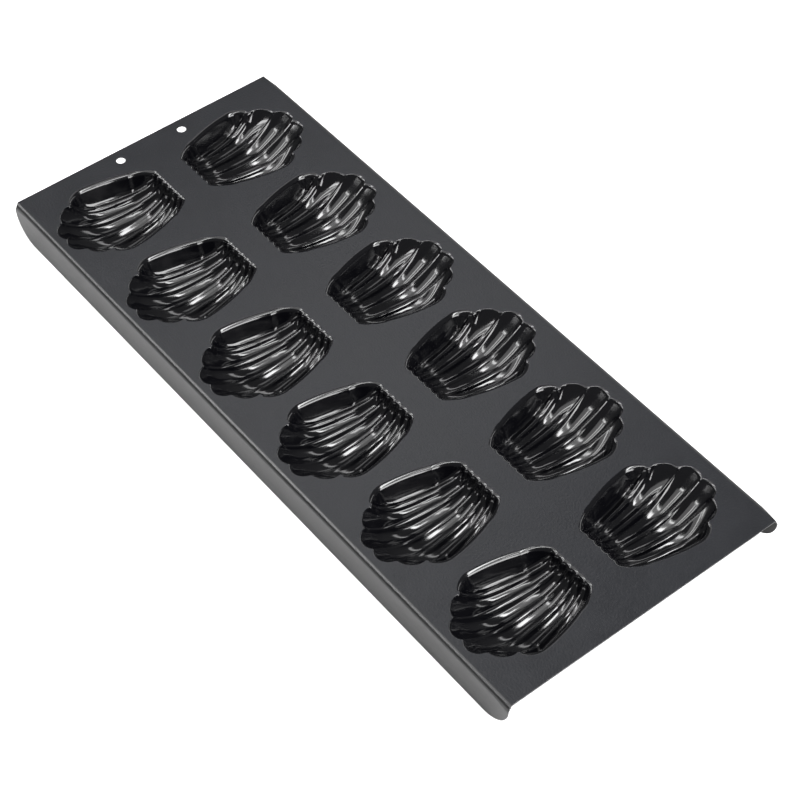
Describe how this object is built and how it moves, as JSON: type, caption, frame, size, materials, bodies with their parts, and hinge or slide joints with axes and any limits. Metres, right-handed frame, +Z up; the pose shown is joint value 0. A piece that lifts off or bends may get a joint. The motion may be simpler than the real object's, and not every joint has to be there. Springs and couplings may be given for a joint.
{
  "type": "madeleine pan",
  "caption": "Long flat sheet-steel baking pan with two rows of fluted shell-shaped hollows, folded-down long sides and hang holes at one end, with a dark non-stick coating.",
  "frame": {"origin": "under the middle of the pan, on the plane that the lower edges of the folded sides stand on", "axes": "+X along the pan, away from the end with the hang holes; +Y across it; +Z up, out of the hollows"},
  "size_m": [0.395, 0.162, 0.02],
  "materials": {
    "deck_coating": "satin charcoal non-stick coating with a fine grain",
    "side_coating": "satin charcoal non-stick coating with a fine grain",
    "hollow_coating": "glossy near-black non-stick coating"
  },
  "bodies": {
    "root": {"deck": "deck_coating", "hang_end": "deck_coating", "front_side": "side_coating", "back_side": "side_coating", "front_shell_1": "hollow_coating", "front_shell_2": "hollow_coating", "front_shell_3": "hollow_coating", "front_shell_4": "hollow_coating", "front_shell_5": "hollow_coating", "front_shell_6": "hollow_coating", "back_shell_1": "hollow_coating", "back_shell_2": "hollow_coating", "back_shell_3": "hollow_coating", "back_shell_4": "hollow_coating", "back_shell_5": "hollow_coating", "back_shell_6": "hollow_coating"}
  },
  "joints": []
}
